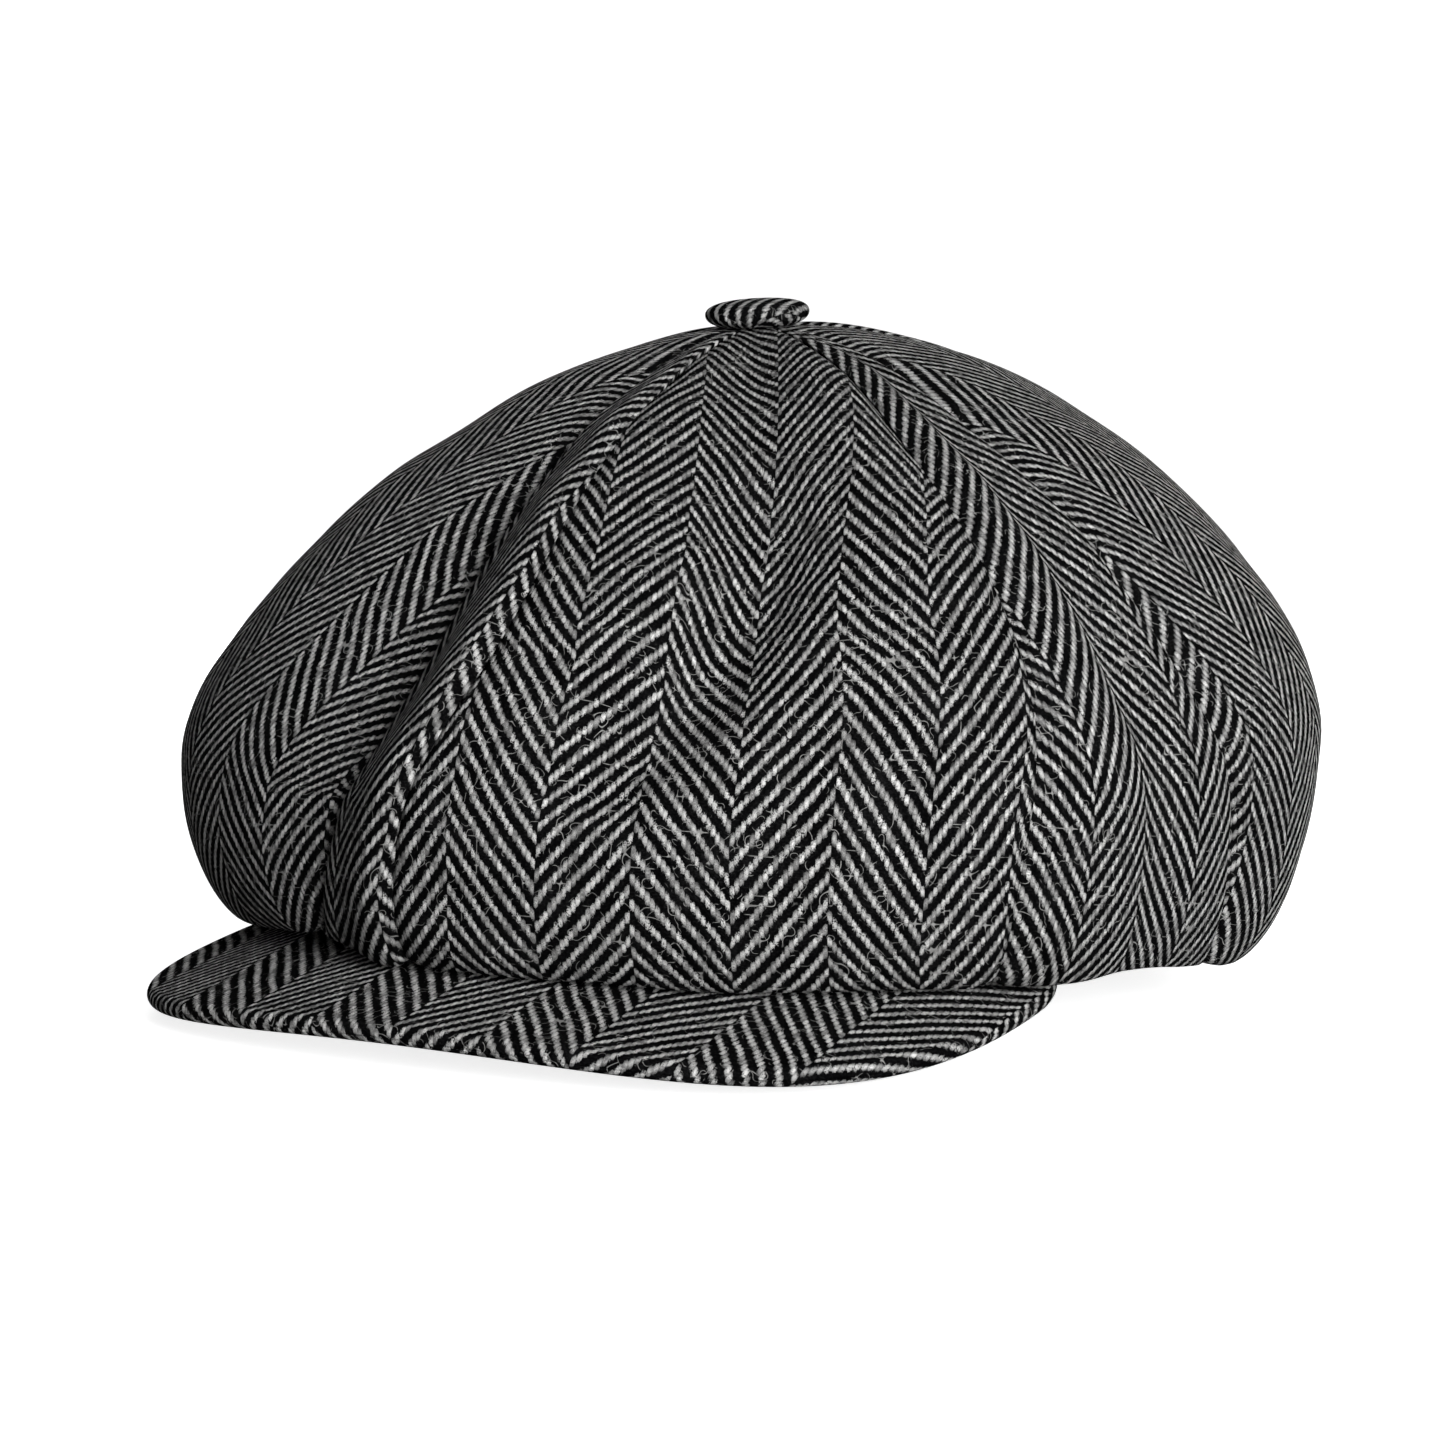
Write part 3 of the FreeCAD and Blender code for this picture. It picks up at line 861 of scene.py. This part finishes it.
def peak_outline():
    """Plan points round the peak's outer edge, from its right end to its left end."""
    t = np.linspace(0, 1, OUTLINE_STEPS)
    front_x = bezier((0, PEAK_HALF_WIDTH * PEAK_ROUNDING, PEAK_HALF_WIDTH, PEAK_HALF_WIDTH), t)
    reach = PEAK_TIP_FORWARD - PEAK_WIDEST_FORWARD
    front_y = bezier((PEAK_TIP_FORWARD, PEAK_TIP_FORWARD,
                      PEAK_WIDEST_FORWARD + reach * PEAK_ROUNDING, PEAK_WIDEST_FORWARD), t)
    taper = PEAK_WIDEST_FORWARD - (PEAK_WIDEST_FORWARD - PEAK_END_FORWARD) * PEAK_END_TAPER
    head_half_width = -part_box("sweatband")[0].x - SWEATBAND_THICKNESS
    back_x = (1 - t) ** 2 * PEAK_HALF_WIDTH + 2 * (1 - t) * t * PEAK_HALF_WIDTH + t * t * head_half_width
    back_y = (1 - t) ** 2 * PEAK_WIDEST_FORWARD + 2 * (1 - t) * t * taper + t * t * PEAK_END_FORWARD
    x = np.concatenate([front_x, back_x[1:]])
    y = -np.concatenate([front_y, back_y[1:]])
    keep = band_offset(x, y) > PEAK_TRIM
    x, y = x[keep], y[keep]
    x, y = np.concatenate([-x[:0:-1], x]), np.concatenate([y[:0:-1], y])
    run = np.concatenate([[0], np.cumsum(np.hypot(np.diff(x), np.diff(y)))])
    share = np.linspace(0, run[-1], PEAK_STATIONS)
    return np.interp(share, run, x), np.interp(share, run, y)


def make_peak(material):
    """The two covers, turned round the board's edge. Each is one sheet of cloth."""
    x, y = peak_outline()
    thickness = PEAK_TOP_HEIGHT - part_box("peak_lower_cover")[1].z + PEAK_COVER
    outer = np.stack([x, y], axis=-1)
    azimuth = np.arctan2(x, -y)
    end = azimuth[-1]
    inner_azimuth = np.linspace(-end, end, PEAK_STATIONS)
    radius = ellipse_radius(BAND_OUTSIDE.x + PEAK_GAP, BAND_OUTSIDE.y + PEAK_GAP, inner_azimuth)
    inner = np.stack([radius * np.sin(inner_azimuth), -radius * np.cos(inner_azimuth)], axis=-1)
    way = outer - inner
    reach = np.linalg.norm(way, axis=-1, keepdims=True)
    way = way / reach
    half = thickness / 2
    share = np.linspace(0, 1, PEAK_STEPS)[:, None, None]
    straight = inner + way * (np.maximum(reach - half, PEAK_LEAST_REACH) * share)
    turn = np.linspace(0, math.pi, PEAK_EDGE_STEPS)[1:-1]
    round_edge = outer - way * half + way * (half * np.sin(turn))[:, None, None]
    plan = np.concatenate([straight, round_edge, straight[::-1]])
    drop = np.concatenate([np.zeros(PEAK_STEPS), half * (1 - np.cos(turn)), np.full(PEAK_STEPS, thickness)])
    height = peak_height(plan[..., 0], plan[..., 1])
    edge_height = height[PEAK_STEPS - 1]
    rows = np.arange(len(plan))
    on_edge = (rows >= PEAK_STEPS) & (rows < PEAK_STEPS + len(turn))
    height[on_edge] = edge_height
    points = np.concatenate([plan, (height - drop[:, None])[..., None]], axis=-1)
    edge_cloth = outer - way * half + way * (half * turn)[:, None, None]
    spread = np.concatenate([straight, edge_cloth, straight[::-1]])
    cloth = np.stack([spread[..., 0], -spread[..., 1]], axis=-1)
    split = PEAK_STEPS + len(turn) // 2 + 2
    for name, part in (("peak_upper", slice(0, split)), ("peak_lower", slice(split - 1, None))):
        piece = grid_mesh(name, points[part], cloth[part])
        thicken(piece, PEAK_CLOTH)
        belongs(piece, "peak", "tweed", material, name + "_cover")


# Button

BUTTON_STEPS = 40
BUTTON_SIDES = 96
BUTTON_UNDER_STEPS = 14
BUTTON_HEIGHT = 5.4 * MM
BUTTON_SEAT = 0.8 * MM
BUTTON_CLOTH = 1.0 * MM
# Shares of the height at the widest place and above it, and of the radius across the top
BUTTON_WIDEST = 0.42
BUTTON_SHOULDER = 0.86
BUTTON_FLAT = 0.6
# The underside: how far it is gathered in, how steeply it leaves the edge and how low it ends
UNDER_GATHER = 0.34
UNDER_CURVE = 1.6
UNDER_DIP = 0.6 * MM
PLEATS = 14
PLEAT_DEPTH = 0.03
PLEATS_FROM = 0.55
BUTTON_GRAIN_TURN = math.radians(30)
BUTTON_GRAIN_SHIFT = 6 * MM


def make_button(material):
    """Cloth drawn over a button form and gathered underneath."""
    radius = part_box("button_cover")[1].x
    widest = BUTTON_HEIGHT * BUTTON_WIDEST
    t = np.linspace(0, 1, BUTTON_STEPS)
    dome_r = bezier((0, radius * BUTTON_FLAT, radius, radius), t)
    dome_z = bezier((BUTTON_HEIGHT, BUTTON_HEIGHT, BUTTON_HEIGHT * BUTTON_SHOULDER, widest), t)
    under = np.linspace(0, 1, BUTTON_UNDER_STEPS)[1:]
    under_r = radius - radius * UNDER_GATHER * under ** 2
    under_z = widest * (1 - under) ** UNDER_CURVE - UNDER_DIP * under
    r = np.concatenate([dome_r, under_r])
    z = np.concatenate([dome_z, under_z]) + BUTTON_SEAT
    angle = np.linspace(0, 2 * math.pi, BUTTON_SIDES, endpoint=False)
    run = np.concatenate([[0], np.cumsum(np.hypot(np.diff(r), np.diff(z)))])
    gathered = smoothstep(PLEATS_FROM, 1.0, run / run[-1])[:, None]
    pleat = 1 - PLEAT_DEPTH * gathered * (1 + np.cos(angle * PLEATS)) / 2
    reach = r[:, None] * pleat
    up = z[:, None] + np.zeros_like(reach)
    points = np.stack([reach * np.sin(angle), -reach * np.cos(angle), up], axis=-1)
    lean = Matrix.Rotation(math.atan2(-BUTTON_AXIS.y, BUTTON_AXIS.z), 3, "X")
    points = points @ np.array(lean).T + np.array(APEX)
    spin = angle + BUTTON_GRAIN_TURN
    along = run[:, None]
    cloth = np.stack([along * np.sin(spin) + BUTTON_GRAIN_SHIFT, -along * np.cos(spin)], axis=-1)
    piece = grid_mesh("button_cloth", points, cloth, ring=True)
    thicken(piece, BUTTON_CLOTH)
    belongs(piece, "button", "tweed", material, "button_cover")


# CAD pieces that stay


def finish_cad(materials):
    """Gives every CAD piece that stays its material."""
    kept = {
        "headband_stiffener": "tape", "crown_apex_stay": "tape", "peak_board": "board",
        "button_shell": "steel", "button_back_plate": "steel", "button_washer": "steel",
        "button_shank": "steel",
    }
    for node, name in kept.items():
        mesh = frame["nodes"][node].data
        mesh.materials.clear()
        mesh.materials.append(materials[name])


# Studio

ROOM_SIZE = 6.0
FLOOR_DROP = 2 * MM
FLOOR_GLOW = 0.8
BACKDROP_GLOW = 1.05
GLOW_RANGE = (0.15, 0.5)
AMBIENT = 0.17
STAGE_SIDES = 64

# Name, azimuth, elevation, distance, size and power of each light, and the height they face
LIGHTS = (
    ("key", 52, 12, 1.3, 0.6, 27),
    ("rear", 215, 22, 1.6, 1.0, 16),
)
LIGHT_AIM_HEIGHT = 50 * MM


def plain(name, colour, near_glow, far_glow):
    """A matt stage material that gives off a little light, and more of it far from the cap."""
    shader = Shader(name)
    x, y, z = shader.place()
    away = (x * x + y * y).math("SQRT").ramp(*GLOW_RANGE)
    shader.set("Base Color", colour + (1,))
    shader.set("Roughness", 1.0)
    shader.set("Specular IOR Level", 0.0)
    shader.set("Emission Color", (1, 1, 1, 1))
    shader.set("Emission Strength", away * (far_glow - near_glow) + near_glow)
    return shader.material


def stage_ring(level):
    angle = np.linspace(0, 2 * math.pi, STAGE_SIDES, endpoint=False)
    return [(ROOM_SIZE * math.sin(a), ROOM_SIZE * math.cos(a), level) for a in angle]


def stage_piece(name, points, faces, material):
    """A piece of the set. The cap's cloth gets no light from it and doesn't mirror it."""
    mesh = bpy.data.meshes.new(name)
    mesh.from_pydata(points, [], faces)
    mesh.materials.append(material)
    piece = bpy.data.objects.new(name, mesh)
    piece.visible_diffuse = False
    piece.visible_glossy = False
    bpy.context.scene.collection.objects.link(piece)
    return piece


def make_stage():
    """A pale floor under a lit white backdrop, which casts no shadow."""
    level = CAD_BOX[0].z - FLOOR_DROP
    floor_paint = plain("floor_paint", (0.8, 0.8, 0.8), FLOOR_GLOW, BACKDROP_GLOW)
    stage_piece("floor", stage_ring(level), [list(range(STAGE_SIDES))[::-1]], floor_paint)
    sides = [
        [k, (k + 1) % STAGE_SIDES, STAGE_SIDES + (k + 1) % STAGE_SIDES, STAGE_SIDES + k]
        for k in range(STAGE_SIDES)
    ]
    ceiling = list(range(STAGE_SIDES, 2 * STAGE_SIDES))
    backdrop_paint = plain("backdrop_paint", (0.0, 0.0, 0.0), BACKDROP_GLOW, BACKDROP_GLOW)
    corners = stage_ring(level) + stage_ring(ROOM_SIZE)
    backdrop = stage_piece("backdrop", corners, sides + [ceiling], backdrop_paint)
    backdrop.visible_transmission = False
    backdrop.visible_shadow = False
    world = bpy.data.worlds.new("studio")
    bpy.context.scene.world = world
    world.use_nodes = True
    background = world.node_tree.nodes["Background"]
    background.inputs["Color"].default_value = (1, 1, 1, 1)
    background.inputs["Strength"].default_value = AMBIENT


def area_light(name, azimuth, elevation, distance, size, power):
    """A soft box that faces the cap."""
    a, e = math.radians(azimuth), math.radians(elevation)
    back = Vector((math.sin(a) * math.cos(e), -math.cos(a) * math.cos(e), math.sin(e)))
    light = bpy.data.lights.new(name, "AREA")
    light.shape = "DISK"
    light.size = size
    light.energy = power
    lamp = bpy.data.objects.new(name, light)
    lamp.location = back * distance + Vector((0, 0, LIGHT_AIM_HEIGHT))
    lamp.rotation_mode = "QUATERNION"
    lamp.rotation_quaternion = back.to_track_quat("Z", "Y")
    bpy.context.scene.collection.objects.link(lamp)


CAMERA_AZIMUTH = math.radians(27.6)
CAMERA_ELEVATION = math.radians(4.54)
CAMERA_ROLL = math.radians(1.13)
CAMERA_DISTANCE = 689 * MM
CAMERA_LENS = 73.88
SENSOR_WIDTH = 36
AIM_ACROSS = -6.34 * MM
AIM_HEIGHT = 39.93 * MM


def make_camera():
    a, e = CAMERA_AZIMUTH, CAMERA_ELEVATION
    right = Vector((math.cos(a), math.sin(a), 0))
    back = Vector((math.sin(a) * math.cos(e), -math.cos(a) * math.cos(e), math.sin(e)))
    up = back.cross(right)
    camera = bpy.data.objects.new("camera", bpy.data.cameras.new("camera"))
    camera.data.lens = CAMERA_LENS
    camera.data.sensor_width = SENSOR_WIDTH
    turned = Matrix.Rotation(CAMERA_ROLL, 3, "Z")
    view = Matrix((right, up, back)).transposed() @ turned
    camera.matrix_world = Matrix.Translation(
        right * AIM_ACROSS + Vector((0, 0, AIM_HEIGHT)) + back * CAMERA_DISTANCE
    ) @ view.to_4x4()
    bpy.context.scene.collection.objects.link(camera)
    bpy.context.scene.camera = camera


materials = {
    "tweed": tweed("tweed"),
    "lining": satin("lining_satin"),
    "sweatband": ribbed("sweatband_rib"),
    "tape": woven_tape("stiffening_tape"),
    "board": moulded("peak_board_sheet"),
    "steel": steel("button_steel"),
    "thread": thread("sewing_thread"),
}
make_crown(materials["tweed"])
make_lining(materials["lining"])
oval_band("headband_outside", "outer_headband", BAND_THICKNESS, materials["tweed"], "tweed")
oval_band("sweatband_cloth", "sweatband", SWEATBAND_THICKNESS, materials["sweatband"], "sweatband")
make_stitches(materials["thread"])
make_peak(materials["tweed"])
make_button(materials["tweed"])
finish_cad(materials)
make_stage()
for light in LIGHTS:
    area_light(*light)
make_camera()
bpy.context.scene.view_settings.view_transform = "Standard"
